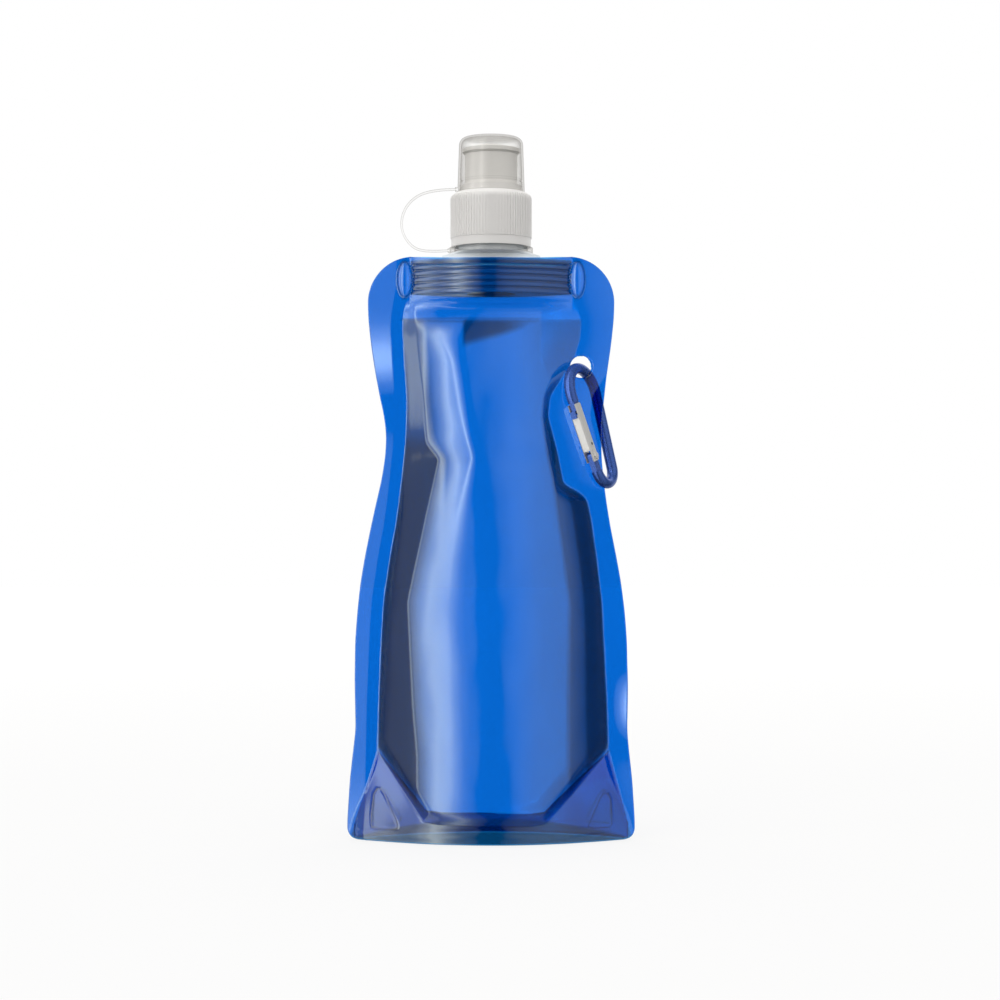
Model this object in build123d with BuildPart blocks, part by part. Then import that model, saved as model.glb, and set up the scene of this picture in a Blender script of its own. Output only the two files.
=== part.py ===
from build123d import *

# Folding water bottle: a stand-up film pouch with a welded spout, a push-pull sports cap,
# a tethered dust cover and a small carabiner. Millimetres, +Z up. The origin is on the
# floor, below the spout's axis and midway between the front film (-Y) and the back film.

import os
from math import asin, cos, radians, sin

os.makedirs("parts", exist_ok=True)

# ---------------------------------------------------------------- driving dimensions
FILM = 0.3  # thickness of one film
FIT = 0.15  # gap between the spout's base and the film welded to it

# Pouch outline, right half, from the bottom corner up to the shoulder: (x, z)
SIDE = [(54.4, 5), (53.4, 24), (51.5, 41), (51.9, 66), (49.2, 100), (43.8, 127), (40.6, 148),
        (42.7, 169), (45.8, 189), (46.9, 203.5)]
BOTTOM_CORNER = 4.0
SHOULDER_RADIUS = 17.5
POUCH_TOP = SIDE[-1][1] + SHOULDER_RADIUS

# The chamber between the films: (height, left half-width, right half-width, half-depth)
CHAMBER = [(0, 53.4, 53.4, 22.0), (33, 43.4, 43.4, 22.5), (75, 42.6, 42.6, 22.0),
           (105, 39.5, 40.0, 20.5), (131, 35.5, 33.0, 18.0), (152, 33.0, 27.0, 16.0),
           (178, 33.8, 26.6, 13.8), (195, 34.0, 29.5, 12.5), (206.5, 31.0, 31.0, 12.0)]

# Bottom gusset: flat in the middle, rising to the side seams
GUSSET_FLOOR = 8.5
GUSSET_FLAT = 25.0
GUSSET_RISE = 34.0
GUSSET_REACH = 44.0

# Punched hole for the carabiner
HOLE_X, HOLE_Z, HOLE_RADIUS = 34.0, 179.1, 4.2

# Spout: boat-shaped base, collar, threaded neck
BOAT_BOTTOM = CHAMBER[-1][0]
BOAT_TOP = 219.5
BOAT_HALF_LENGTH = CHAMBER[-1][1] - FILM - FIT
BOAT_HALF_DEPTH = CHAMBER[-1][3] - FILM - FIT
BOAT_RIBS, RIB_HEIGHT, RIB_DEPTH = 6, 1.0, 0.7
COLLAR_TOP = 222.2
COLLAR_HALF = (18.7, 11.2)
COLLAR_RADIUS = 15.0
NECK_TOP = 240.2
NECK_RADIUS, NECK_BORE, SPOUT_BORE = 12.47, 10.6, 9.2

# Thread of the neck and the cap: one start, right-handed
PITCH = 3.2
THREAD_TURNS = 2.5
THREAD_HEIGHT, THREAD_ROOT, THREAD_CREST = 1.18, 1.6, 0.6
THREAD_START = 229.0
THREAD_SINK = 0.2  # how far a thread's root reaches into its wall

# Screw cap
SKIRT_BOTTOM, SKIRT_TOP, DECK_TOP = 224.5, 242.4, 245.3
SKIRT_RADIUS, SKIRT_BORE = 15.15, 13.95
GRIP_RIBS, GRIP_RIB_WIDTH, GRIP_RIB_HEIGHT = 84, 0.6, 0.3
GRIP_BOTTOM, GRIP_TOP = 227.8, 244.0
CEILING = 241.5
LINER_GAP = 0.05  # clearance under and over the sealing disc
DECK_RADIUS = 12.6  # where the rounded shoulder meets the flat deck
SEAT_RADIUS, SEAT_BORE, SEAT_TOP = 11.8, 10.75, 247.8  # the ring that the dust cover snaps over
WELL = 243.6  # floor of the well inside that ring, which the nozzle is pushed down into
TUBE_RADIUS, TUBE_BORE, TUBE_TOP = 8.2, 6.8, 255.2
BEAD, BEAD_HEIGHT = 0.5, 1.6  # the bead round the tube's top that stops the nozzle
POST_RADIUS, POST_TIP_RADIUS, POST_BOTTOM, POST_TOP = 2.9, 2.2, 243.0, 259.5
POST_SLOPE = 1.2  # height of the cone between the post and its tip
SPOKES, SPOKE_WIDTH = 4, 1.4

# Drinking nozzle, pulled out: its inner rib lies just under the tube's bead
NOZZLE_BOTTOM, NOZZLE_EDGE, NOZZLE_TOP = 248.0, 261.9, 263.8
NOZZLE_RADIUS, NOZZLE_BORE, LIP_RADIUS, NOZZLE_FOOT = 10.0, 8.85, 10.9, 10.3
FOOT_HEIGHT, LIP_HEIGHT, LIP_SLOPE = 1.2, 1.4, 0.8
CROWN_RADIUS, CROWN_HEIGHT = 6.8, 0.9  # a ring on the domed top: radius, height above the edge
NOZZLE_HOLE = POST_TIP_RADIUS + FIT
NOZZLE_ROOF = NOZZLE_EDGE - 1.6
INNER_RIB_TOP = TUBE_TOP - BEAD_HEIGHT - 0.3
INNER_RIB_BOTTOM = INNER_RIB_TOP - 1.3

# Dust cover
COVER_BOTTOM, COVER_TOP = 245.6, 266.4
COVER_RADIUS, COVER_TOP_RADIUS, COVER_WALL, COVER_FILLET = 12.8, 12.1, 0.75, 3.0
SNAP_RADIUS, SNAP_BORE = 12.4, 11.35  # the snap ring inside the cover, just above the cap's seat ring
SNAP_BOTTOM, SNAP_HEIGHT = SEAT_TOP + 1.6, 0.8

# Tether: ring on the neck and a flat strap up to the dust cover
RING_BOTTOM, RING_TOP, RING_RADIUS, RING_BORE = 222.4, 224.2, 15.9, 14.0
STRAP_WIDTH, STRAP_THICKNESS = 3.0, 0.9
STRAP_LEVEL, COVER_LUG_LEVEL = 223.3, 246.6
LUG_WIDTH, LUG_HEIGHT, LUG_CORNER = STRAP_WIDTH + 0.8, 1.4, 0.4
RING_LUG_REACH, COVER_LUG_REACH = 0.6, 0.9  # how far each lug stands out
STRAP_START = (-RING_RADIUS - RING_LUG_REACH, 0, STRAP_LEVEL)
STRAP_END = (-COVER_RADIUS - COVER_LUG_REACH, 0, COVER_LUG_LEVEL)
STRAP_ROUTE = [STRAP_START, (-33.6, 0, 223.1), (-34.0, 0, 235.0), (-22.5, 0, 246.4), STRAP_END]
STRAP_BENDS = (6.0, 10.5, 12.0)

# Carabiner, in its own plane: u from the gate to the spine, l along its length
BAR = 2.1
TOP_BEND, FOOT_BEND, BEND_DISTANCE = 9.6, 6.2, 29.2
TURN, LEAN = 59.0, 15.5  # turned about the vertical, leaning in the film's plane
PASS_U = 3.2  # where the bar passes through the film, measured from the middle
HOLE_PASS = (HOLE_X + 0.1, 0, HOLE_Z - 1.0)  # where the bar's middle crosses the films
TANG, TANG_THICKNESS = 1.8, 2.1  # the flats at both ends of the bar: half-width, thickness
SINK = 0.8  # how far a flat reaches into the round bar
NOSE_STUB = 1.6  # straight round bar between the top bend and the nose
NOSE_LENGTH, TOE_REACH, TOE_THICKNESS, TOE_DROP = 4.6, 3.5, 0.7, 1.4
GATE_WIDTH, GATE_SHEET, GATE_DEPTH, GATE_TAIL, GATE_TOP_GAP = 3.7, 0.5, 4.0, 1.9, 0.7
WEB_FOOT = 2.5  # the gate's outer wall starts this far above the pivot
WEB_GAP, GATE_ROUND = 0.3, 0.7
PIVOT_UP, RIVET_RADIUS, RIVET_HEAD, RIVET_HEAD_HEIGHT = 5.8, 0.8, 1.35, 0.4
RUNNING_GAP = 0.05
SPRING_PIN_UP, SPRING_PIN_RADIUS = 4.7, 0.6
SPRING_RADIUS, SPRING_WIRE, SPRING_PITCH, SPRING_TURNS = 0.95, 0.2, 0.5, 4
SPRING_LEGS = (-2.2, 5.0)  # towards the flat and towards the gate's far end


def finish(part, name):
    """Labels a finished piece and writes its STEP file."""
    part.label = name
    export_step(part, f"parts/{name}.step")


# ---------------------------------------------------------------- pouch
def lens(left, right, depth, inset=0.0):
    """A lens between two arcs, drawn in by inset all round."""
    start, end = -left + inset, right - inset
    middle = (start + end) / 2
    with BuildSketch() as face:
        with BuildLine():
            ThreePointArc((start, 0), (middle, -depth + inset), (end, 0))
            ThreePointArc((end, 0), (middle, depth - inset), (start, 0))
        make_face()
    return face.sketch


def chamber(inset):
    """The closed solid of the chamber, from the floor to the pouch's top, drawn in by inset."""
    with BuildPart() as body:
        for height, left, right, depth in CHAMBER:
            with BuildSketch(Plane.XY.offset(height)):
                add(lens(left, right, depth, inset))
        loft()
        with BuildSketch(Plane.XY.offset(CHAMBER[-1][0])):
            add(lens(*CHAMBER[-1][1:], inset))
        extrude(amount=POUCH_TOP - CHAMBER[-1][0])
    return body.part


outer_chamber = chamber(0)
film_inside = chamber(FILM)
gusset_inside = chamber(2 * FILM)

with BuildSketch(Plane.XZ) as outline:
    with BuildLine():
        corner = (SIDE[0][0] - BOTTOM_CORNER, 0)
        Line((0, 0), corner)
        TangentArc(corner, SIDE[0], tangent=(1, 0))
        Spline(*SIDE, tangents=[(-0.03, 1), (0, 1)])
        shoulder = JernArc(SIDE[-1], (0, 1), SHOULDER_RADIUS, 90)
        Line(shoulder @ 1, (0, POUCH_TOP))
        Line((0, POUCH_TOP), (0, 0))
    make_face()
    mirror(about=Plane.YZ)

with BuildPart() as both_films:
    with BuildSketch(Plane.XZ):
        add(outline.sketch_local)
    extrude(amount=FILM, both=True)
    add(outer_chamber)
    add(film_inside, mode=Mode.SUBTRACT)
    with BuildSketch(Plane.XZ):
        with Locations((HOLE_X, HOLE_Z)):
            Circle(HOLE_RADIUS)
    extrude(amount=2 * FILM, both=True, mode=Mode.SUBTRACT)

with BuildPart() as front_film:
    add(both_films.part)
    split(bisect_by=Plane.XZ, keep=Keep.TOP)
finish(front_film.part, "front_film")

with BuildPart() as back_film:
    add(both_films.part)
    split(bisect_by=Plane.XZ, keep=Keep.BOTTOM)
finish(back_film.part, "back_film")

gusset_line = [(-GUSSET_REACH, GUSSET_RISE), (-GUSSET_FLAT, GUSSET_FLOOR),
               (GUSSET_FLAT, GUSSET_FLOOR), (GUSSET_REACH, GUSSET_RISE)]

with BuildPart() as gusset_sheet:
    with BuildSketch(Plane.XZ):
        with BuildLine():
            Polyline(*gusset_line, *[(x, z - FILM) for x, z in reversed(gusset_line)], close=True)
        make_face()
    extrude(amount=CHAMBER[1][3] + FILM, both=True)
    add(film_inside, mode=Mode.INTERSECT)

with BuildPart() as bottom_gusset:
    add(film_inside)
    add(gusset_inside, mode=Mode.SUBTRACT)
    with BuildSketch(Plane.XZ):
        with BuildLine():
            Polyline(*gusset_line, (GUSSET_REACH + 20, 0), (-GUSSET_REACH - 20, 0), close=True)
        make_face()
    extrude(amount=CHAMBER[1][3] + FILM, both=True, mode=Mode.INTERSECT)
    add(gusset_sheet.part)
finish(bottom_gusset.part, "bottom_gusset")


# ---------------------------------------------------------------- spout
def thread(radius, outward, bottom):
    """A helical ridge on a wall of the given radius, standing outward or inward."""
    side = 1 if outward else -1
    with BuildPart() as ridge:
        with BuildLine():
            path = Helix(PITCH, PITCH * THREAD_TURNS, radius, center=(0, 0, bottom))
        with BuildSketch(Plane(origin=path @ 0, x_dir=(side, 0, 0), z_dir=path % 0)):
            with BuildLine():
                Polyline((-THREAD_SINK, -THREAD_ROOT / 2), (THREAD_HEIGHT, -THREAD_CREST / 2),
                         (THREAD_HEIGHT, THREAD_CREST / 2), (-THREAD_SINK, THREAD_ROOT / 2),
                         close=True)
            make_face()
        sweep(path=path, is_frenet=True)
    return ridge.part


with BuildPart() as spout_fitment:
    boat_core = (BOAT_HALF_LENGTH, BOAT_HALF_LENGTH, BOAT_HALF_DEPTH)
    with BuildSketch(Plane.XY.offset(BOAT_BOTTOM + FIT)):
        add(lens(*boat_core, RIB_DEPTH))
    extrude(amount=BOAT_TOP - BOAT_BOTTOM - FIT)
    rib_step = (BOAT_TOP - BOAT_BOTTOM - FIT - RIB_HEIGHT) / (BOAT_RIBS - 1)
    for rib in range(BOAT_RIBS):
        with BuildSketch(Plane.XY.offset(BOAT_BOTTOM + FIT + rib * rib_step)):
            add(lens(*boat_core))
        extrude(amount=RIB_HEIGHT)
    with BuildSketch(Plane.XY.offset(BOAT_TOP)):
        Ellipse(*COLLAR_HALF)
    extrude(amount=POUCH_TOP + FIT - BOAT_TOP)
    with BuildSketch(Plane.XY.offset(POUCH_TOP + FIT)):
        Ellipse(*COLLAR_HALF)
    with BuildSketch(Plane.XY.offset(COLLAR_TOP)):
        Ellipse(COLLAR_RADIUS, COLLAR_RADIUS - 0.01)
    loft()
    with BuildSketch(Plane.XY.offset(COLLAR_TOP)):
        Circle(NECK_RADIUS)
    extrude(amount=NECK_TOP - COLLAR_TOP)
    add(thread(NECK_RADIUS, True, THREAD_START))
    with BuildSketch(Plane.XY.offset(BOAT_BOTTOM)):
        Circle(SPOUT_BORE)
    extrude(amount=NECK_TOP - BOAT_BOTTOM, mode=Mode.SUBTRACT)
    with BuildSketch(Plane.XY.offset(COLLAR_TOP)):
        Circle(NECK_BORE)
    extrude(amount=NECK_TOP - COLLAR_TOP, mode=Mode.SUBTRACT)
finish(spout_fitment.part, "spout_fitment")

# ---------------------------------------------------------------- cap
with BuildPart() as grip_ribs:
    with BuildSketch(Plane.XY.offset(GRIP_BOTTOM)):
        with PolarLocations(SKIRT_RADIUS - GRIP_RIB_HEIGHT, GRIP_RIBS):
            Rectangle(4 * GRIP_RIB_HEIGHT, GRIP_RIB_WIDTH)
    extrude(amount=GRIP_TOP - GRIP_BOTTOM)
    with BuildSketch(Plane.XZ):
        with BuildLine():
            rib_crest = SKIRT_RADIUS + GRIP_RIB_HEIGHT
            Line((0, GRIP_BOTTOM), (rib_crest, GRIP_BOTTOM))
            Line((rib_crest, GRIP_BOTTOM), (rib_crest, SKIRT_TOP))
            TangentArc((rib_crest, SKIRT_TOP), (DECK_RADIUS, DECK_TOP + GRIP_RIB_HEIGHT), tangent=(0, 1))
            Line((DECK_RADIUS, DECK_TOP + GRIP_RIB_HEIGHT), (0, DECK_TOP + GRIP_RIB_HEIGHT))
            Line((0, DECK_TOP + GRIP_RIB_HEIGHT), (0, GRIP_BOTTOM))
        make_face()
    revolve(axis=Axis.Z, mode=Mode.INTERSECT)

with BuildPart() as screw_cap:
    with BuildSketch(Plane.XZ):
        with BuildLine():
            Polyline((SKIRT_BORE, SKIRT_BOTTOM), (SKIRT_RADIUS, SKIRT_BOTTOM),
                     (SKIRT_RADIUS, SKIRT_TOP))
            TangentArc((SKIRT_RADIUS, SKIRT_TOP), (DECK_RADIUS, DECK_TOP), tangent=(0, 1))
            Polyline((DECK_RADIUS, DECK_TOP), (SEAT_RADIUS, DECK_TOP), (SEAT_RADIUS, SEAT_TOP),
                     (SEAT_BORE, SEAT_TOP), (SEAT_BORE, WELL), (TUBE_RADIUS, WELL),
                     (TUBE_RADIUS, TUBE_TOP - BEAD_HEIGHT),
                     (TUBE_RADIUS + BEAD, TUBE_TOP - BEAD_HEIGHT / 2), (TUBE_RADIUS, TUBE_TOP),
                     (TUBE_BORE, TUBE_TOP), (TUBE_BORE, CEILING), (SKIRT_BORE, CEILING),
                     (SKIRT_BORE, SKIRT_BOTTOM))
        make_face()
    revolve(axis=Axis.Z)
    add(grip_ribs.part)
    with BuildSketch(Plane.XZ):
        with BuildLine():
            Polyline((0, POST_BOTTOM), (POST_RADIUS, POST_BOTTOM), (POST_RADIUS, TUBE_TOP),
                     (POST_TIP_RADIUS, TUBE_TOP + POST_SLOPE), (POST_TIP_RADIUS, POST_TOP),
                     (0, POST_TOP), close=True)
        make_face()
    revolve(axis=Axis.Z)
    with BuildSketch(Plane.XY.offset(POST_BOTTOM)):
        with PolarLocations(0, SPOKES):
            Rectangle(TUBE_RADIUS, SPOKE_WIDTH, align=(Align.MIN, Align.CENTER))
    extrude(amount=2 * SPOKE_WIDTH)
    add(thread(SKIRT_BORE, False, THREAD_START + PITCH / 2))
finish(screw_cap.part, "screw_cap")

with BuildPart() as cap_liner:
    with BuildSketch(Plane.XY.offset(NECK_TOP + LINER_GAP)):
        Circle(NECK_RADIUS)
        Circle(NECK_BORE, mode=Mode.SUBTRACT)
    extrude(amount=CEILING - NECK_TOP - 2 * LINER_GAP)
finish(cap_liner.part, "cap_liner")

with BuildPart() as nozzle:
    with BuildSketch(Plane.XZ):
        with BuildLine():
            Polyline((NOZZLE_BORE, NOZZLE_BOTTOM), (NOZZLE_FOOT, NOZZLE_BOTTOM),
                     (NOZZLE_RADIUS, NOZZLE_BOTTOM + FOOT_HEIGHT),
                     (NOZZLE_RADIUS, NOZZLE_EDGE - LIP_HEIGHT - LIP_SLOPE),
                     (LIP_RADIUS, NOZZLE_EDGE - LIP_HEIGHT), (LIP_RADIUS, NOZZLE_EDGE))
            ThreePointArc((LIP_RADIUS, NOZZLE_EDGE), (CROWN_RADIUS, NOZZLE_EDGE + CROWN_HEIGHT),
                          (NOZZLE_HOLE, NOZZLE_TOP))
            Polyline((NOZZLE_HOLE, NOZZLE_TOP), (NOZZLE_HOLE, NOZZLE_ROOF + FIT),
                     (NOZZLE_BORE, NOZZLE_ROOF), (NOZZLE_BORE, INNER_RIB_TOP + BEAD),
                     (TUBE_RADIUS + FIT, INNER_RIB_TOP), (TUBE_RADIUS + FIT, INNER_RIB_BOTTOM + BEAD),
                     (NOZZLE_BORE, INNER_RIB_BOTTOM), (NOZZLE_BORE, NOZZLE_BOTTOM))
        make_face()
    revolve(axis=Axis.Z)
finish(nozzle.part, "nozzle")

# ---------------------------------------------------------------- dust cover and tether
with BuildPart() as dust_cover:
    with BuildSketch(Plane.XZ):
        with BuildLine():
            Polyline((0, COVER_BOTTOM), (COVER_RADIUS, COVER_BOTTOM),
                     (COVER_TOP_RADIUS, COVER_TOP), (0, COVER_TOP), close=True)
        make_face()
    revolve(axis=Axis.Z)
    fillet(edges().group_by(Axis.Z)[-1], COVER_FILLET)
    offset(amount=-COVER_WALL, openings=faces().sort_by(Axis.Z)[0])
    with BuildSketch(Plane.XY.offset(SNAP_BOTTOM)):
        Circle(SNAP_RADIUS)
        Circle(SNAP_BORE, mode=Mode.SUBTRACT)
    extrude(amount=SNAP_HEIGHT)
    with BuildSketch(Plane.XY.offset(COVER_LUG_LEVEL - LUG_HEIGHT / 2)):
        with Locations((STRAP_END[0], 0)):
            RectangleRounded(COVER_LUG_REACH + COVER_WALL, LUG_WIDTH, LUG_CORNER,
                             align=(Align.MIN, Align.CENTER))
    extrude(amount=LUG_HEIGHT)
finish(dust_cover.part, "dust_cover")

with BuildPart() as tether_ring:
    with BuildSketch(Plane.XY.offset(RING_BOTTOM)):
        Circle(RING_RADIUS)
        Circle(RING_BORE, mode=Mode.SUBTRACT)
    extrude(amount=RING_TOP - RING_BOTTOM)
    with BuildSketch(Plane.XY.offset(STRAP_LEVEL - LUG_HEIGHT / 2)):
        with Locations((STRAP_START[0], 0)):
            RectangleRounded(2 * RING_LUG_REACH, LUG_WIDTH, LUG_CORNER,
                             align=(Align.MIN, Align.CENTER))
    extrude(amount=LUG_HEIGHT)
finish(tether_ring.part, "tether_ring")

with BuildPart() as tether_strap:
    with BuildLine():
        loop = FilletPolyline(*STRAP_ROUTE, radius=STRAP_BENDS)
    with BuildSketch(Plane(origin=loop @ 0, z_dir=loop % 0, x_dir=(0, 1, 0))):
        Rectangle(STRAP_WIDTH, STRAP_THICKNESS)
    sweep(path=loop)
finish(tether_strap.part, "tether_strap")

# ---------------------------------------------------------------- carabiner
turn, lean = radians(TURN), radians(LEAN)
u_dir = Vector(cos(turn) * cos(lean), sin(turn), cos(turn) * sin(lean))
l_dir = Vector(-sin(lean), 0, cos(lean))
pass_l = (TOP_BEND**2 - PASS_U**2) ** 0.5
hook_plane = Plane(origin=Vector(*HOLE_PASS) - u_dir * PASS_U - l_dir * pass_l, x_dir=u_dir,
                   z_dir=u_dir.cross(l_dir))

taper = asin((TOP_BEND - FOOT_BEND) / BEND_DISTANCE)
foot_end = (0, -BEND_DISTANCE)
spine_top = (TOP_BEND * cos(taper), -TOP_BEND * sin(taper))
spine_foot = (FOOT_BEND * cos(taper), foot_end[1] - FOOT_BEND * sin(taper))
gate_top = (-spine_top[0], spine_top[1])
gate_foot = (-spine_foot[0], spine_foot[1])
gate_run = BEND_DISTANCE * cos(taper)  # straight length of the gate's side

# The gate's side has its own plane: x outward from the ring, y up along the gate, origin at
# the pivot, z along the rivet
gate_up = (Vector(*gate_top) - Vector(*gate_foot)).normalized()
pivot = Vector(*gate_foot) + gate_up * PIVOT_UP
gate_x = u_dir * -gate_up.Y + l_dir * gate_up.X
gate_y = u_dir * gate_up.X + l_dir * gate_up.Y
gate_plane = Plane(origin=hook_plane.from_local_coords((pivot.X, pivot.Y)), x_dir=gate_x,
                   z_dir=gate_x.cross(gate_y))
nose_end = gate_run - NOSE_STUB - PIVOT_UP  # where the round bar starts again above the nose
bar_end = Vector(*gate_top) - gate_up * NOSE_STUB
nose_tip = nose_end - NOSE_LENGTH
outward = Axis(gate_plane.origin, gate_x)
rivet_line = Axis(gate_plane.origin, gate_plane.z_dir)

with BuildPart() as carabiner_body:
    with BuildLine(hook_plane) as bar:
        Line(spine_top, spine_foot)
        Line((bar_end.X, bar_end.Y), gate_top)
        ThreePointArc(gate_top, (0, TOP_BEND), spine_top)
        ThreePointArc(spine_foot, (0, foot_end[1] - FOOT_BEND), gate_foot)
    with BuildSketch(Plane(origin=hook_plane.from_local_coords((bar_end.X, bar_end.Y)), z_dir=gate_y)):
        Circle(BAR)
    sweep(path=bar.wire())
    with BuildSketch(gate_plane):
        Circle(TANG)
        with Locations((0, -PIVOT_UP / 2)):
            Rectangle(2 * TANG, PIVOT_UP + SINK)
        with Locations((0, nose_tip)):
            Rectangle(2 * TANG, NOSE_LENGTH + SINK, align=(Align.CENTER, Align.MIN))
            Rectangle(TOE_REACH, TOE_DROP, align=(Align.MIN, Align.MIN))
        with Locations((TOE_REACH, nose_tip + TOE_DROP)):
            Rectangle(TOE_THICKNESS, 2 * TOE_DROP, align=(Align.MAX, Align.MAX))
    extrude(amount=TANG_THICKNESS / 2, both=True)
    with BuildSketch(gate_plane):
        Circle(RIVET_RADIUS + RUNNING_GAP)
    extrude(amount=TANG_THICKNESS, both=True, mode=Mode.SUBTRACT)
finish(carabiner_body.part, "carabiner_body")

with BuildPart() as gate:
    with BuildSketch(gate_plane):
        with Locations((TANG + WEB_GAP + GATE_SHEET, -GATE_TAIL)):
            Rectangle(GATE_DEPTH, GATE_TAIL + nose_end - GATE_TOP_GAP, align=(Align.MAX, Align.MIN))
    extrude(amount=GATE_WIDTH / 2, both=True)
    fillet(edges().filter_by(Axis(gate_plane.origin, gate_y)).group_by(outward)[-1], GATE_ROUND)
    fillet(edges().filter_by(rivet_line).group_by(outward)[0], GATE_ROUND)
    with BuildSketch(gate_plane):
        with Locations((TANG + WEB_GAP, -GATE_TAIL)):
            Rectangle(GATE_DEPTH, gate_run, align=(Align.MAX, Align.MIN))
        with Locations((TANG + WEB_GAP, nose_tip - WEB_GAP)):
            Rectangle(GATE_DEPTH, NOSE_LENGTH, align=(Align.CENTER, Align.MIN))
        with Locations((TANG + WEB_GAP, -GATE_TAIL)):
            Rectangle(GATE_DEPTH, GATE_TAIL + WEB_FOOT, align=(Align.CENTER, Align.MIN))
    extrude(amount=GATE_WIDTH / 2 - GATE_SHEET, both=True, mode=Mode.SUBTRACT)
    with BuildSketch(gate_plane):
        Circle(RIVET_RADIUS + RUNNING_GAP)
        with Locations((0, SPRING_PIN_UP)):
            Circle(SPRING_PIN_RADIUS)
    extrude(amount=GATE_WIDTH, both=True, mode=Mode.SUBTRACT)
finish(gate.part, "gate")

with BuildPart() as gate_rivet:
    with BuildSketch(gate_plane):
        Circle(RIVET_RADIUS)
    extrude(amount=GATE_WIDTH / 2 + RUNNING_GAP, both=True)
    for side in (-1, 1):
        with BuildSketch(gate_plane.offset(side * (GATE_WIDTH / 2 + RUNNING_GAP))):
            Circle(RIVET_HEAD)
        extrude(amount=side * RIVET_HEAD_HEIGHT)
    fillet(edges().filter_by(GeomType.CIRCLE).group_by(rivet_line)[0], RIVET_HEAD_HEIGHT / 2)
    fillet(edges().filter_by(GeomType.CIRCLE).group_by(rivet_line)[-1], RIVET_HEAD_HEIGHT / 2)
finish(gate_rivet.part, "gate_rivet")

with BuildPart() as spring_pin:
    with BuildSketch(gate_plane):
        with Locations((0, SPRING_PIN_UP)):
            Circle(SPRING_PIN_RADIUS)
    extrude(amount=GATE_WIDTH / 2, both=True)
finish(spring_pin.part, "spring_pin")

with BuildPart() as gate_spring:
    coil_length = SPRING_PITCH * SPRING_TURNS
    coil_foot = gate_plane.from_local_coords((0, SPRING_PIN_UP, -coil_length / 2))
    with BuildLine() as coil:
        Helix(SPRING_PITCH, coil_length, SPRING_RADIUS, center=coil_foot, direction=rivet_line.direction)
    with BuildSketch(Plane(origin=coil.line @ 0, z_dir=coil.line % 0)):
        Circle(SPRING_WIRE)
    sweep(path=coil.line, is_frenet=True)
    for end, reach in ((0, SPRING_LEGS[0]), (1, SPRING_LEGS[1])):
        leg = Plane(origin=coil.line @ end, x_dir=gate_x, z_dir=gate_y)
        with BuildSketch(leg):
            Circle(SPRING_WIRE)
        extrude(amount=reach)
finish(gate_spring.part, "gate_spring")
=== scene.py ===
"""Folding water bottle: the looks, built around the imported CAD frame. Metres, +Z up.

The pouch's films, its gusset and the tether's strap are made here; their tables are in mm.
"""

import math

import bpy
import numpy as np
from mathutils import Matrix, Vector, noise


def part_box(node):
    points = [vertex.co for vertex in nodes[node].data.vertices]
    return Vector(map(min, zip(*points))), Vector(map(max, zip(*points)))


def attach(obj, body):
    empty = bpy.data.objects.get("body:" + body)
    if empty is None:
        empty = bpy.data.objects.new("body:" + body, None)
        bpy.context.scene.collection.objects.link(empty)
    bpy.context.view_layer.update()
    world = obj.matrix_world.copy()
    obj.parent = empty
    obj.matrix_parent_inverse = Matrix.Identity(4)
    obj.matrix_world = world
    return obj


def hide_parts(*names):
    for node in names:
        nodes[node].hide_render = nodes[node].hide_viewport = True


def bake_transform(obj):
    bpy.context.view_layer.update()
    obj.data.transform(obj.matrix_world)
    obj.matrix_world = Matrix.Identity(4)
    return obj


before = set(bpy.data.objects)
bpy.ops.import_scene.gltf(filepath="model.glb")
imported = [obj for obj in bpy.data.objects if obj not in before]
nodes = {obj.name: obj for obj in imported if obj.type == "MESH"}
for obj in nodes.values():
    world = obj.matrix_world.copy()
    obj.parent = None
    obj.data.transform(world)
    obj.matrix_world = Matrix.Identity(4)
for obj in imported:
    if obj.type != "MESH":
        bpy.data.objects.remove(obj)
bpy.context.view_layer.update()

MM = 0.001


# ---------------------------------------------------------------- material helpers
def new_material(name):
    """A material with an empty node tree, and its tree."""
    material = bpy.data.materials.new(name)
    material.use_nodes = True
    material.node_tree.nodes.clear()
    return material, material.node_tree


def add_node(tree, kind, inputs=(), **settings):
    """A node of that kind; an input's value is a number, a colour or another node's socket."""
    made = tree.nodes.new("ShaderNode" + kind)
    for name, value in settings.items():
        setattr(made, name, value)
    for name, value in dict(inputs).items():
        if isinstance(value, bpy.types.NodeSocket):
            tree.links.new(value, made.inputs[name])
        else:
            made.inputs[name].default_value = value
    return made


def math_node(tree, operation, first, second=0.0):
    """The result of one sum on two numbers or sockets."""
    return add_node(tree, "Math", {0: first, 1: second}, operation=operation).outputs[0]


def noise_node(tree, scale, detail=3.0, stretch=(1, 1, 1)):
    """A noise value over the piece, in its own coordinates."""
    place = add_node(tree, "TexCoord").outputs["Object"]
    place = add_node(tree, "Mapping", {"Vector": place, "Scale": stretch}).outputs[0]
    return add_node(tree, "TexNoise", {"Vector": place, "Scale": scale, "Detail": detail}).outputs["Fac"]


def spread(tree, value, low, high):
    """A 0 to 1 value spread from low to high."""
    return add_node(tree, "MapRange", {"Value": value, "To Min": low, "To Max": high}).outputs[0]


def varied(tree, colour, scale, low, high):
    """A colour that gets slightly darker and lighter over the piece."""
    drift = spread(tree, noise_node(tree, scale), low, high)
    return add_node(tree, "HueSaturation", {"Color": colour, "Value": drift}).outputs[0]


def bump(tree, height, strength, distance):
    """A normal from a height."""
    settings = {"Height": height, "Strength": strength, "Distance": distance}
    return add_node(tree, "Bump", settings).outputs[0]


def finish_material(tree, shader):
    """Connects a shader to the material's output."""
    add_node(tree, "OutputMaterial", {"Surface": shader.outputs[0]})


# ---------------------------------------------------------------- materials
EDGE_TINT_POWER = 2.6  # how late a clear skin takes on its edge tint as it turns away
GLANCE_POWER = 5.0
GLANCE_SHINE = 0.4  # how much more a clear skin mirrors where it is seen edge-on


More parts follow.
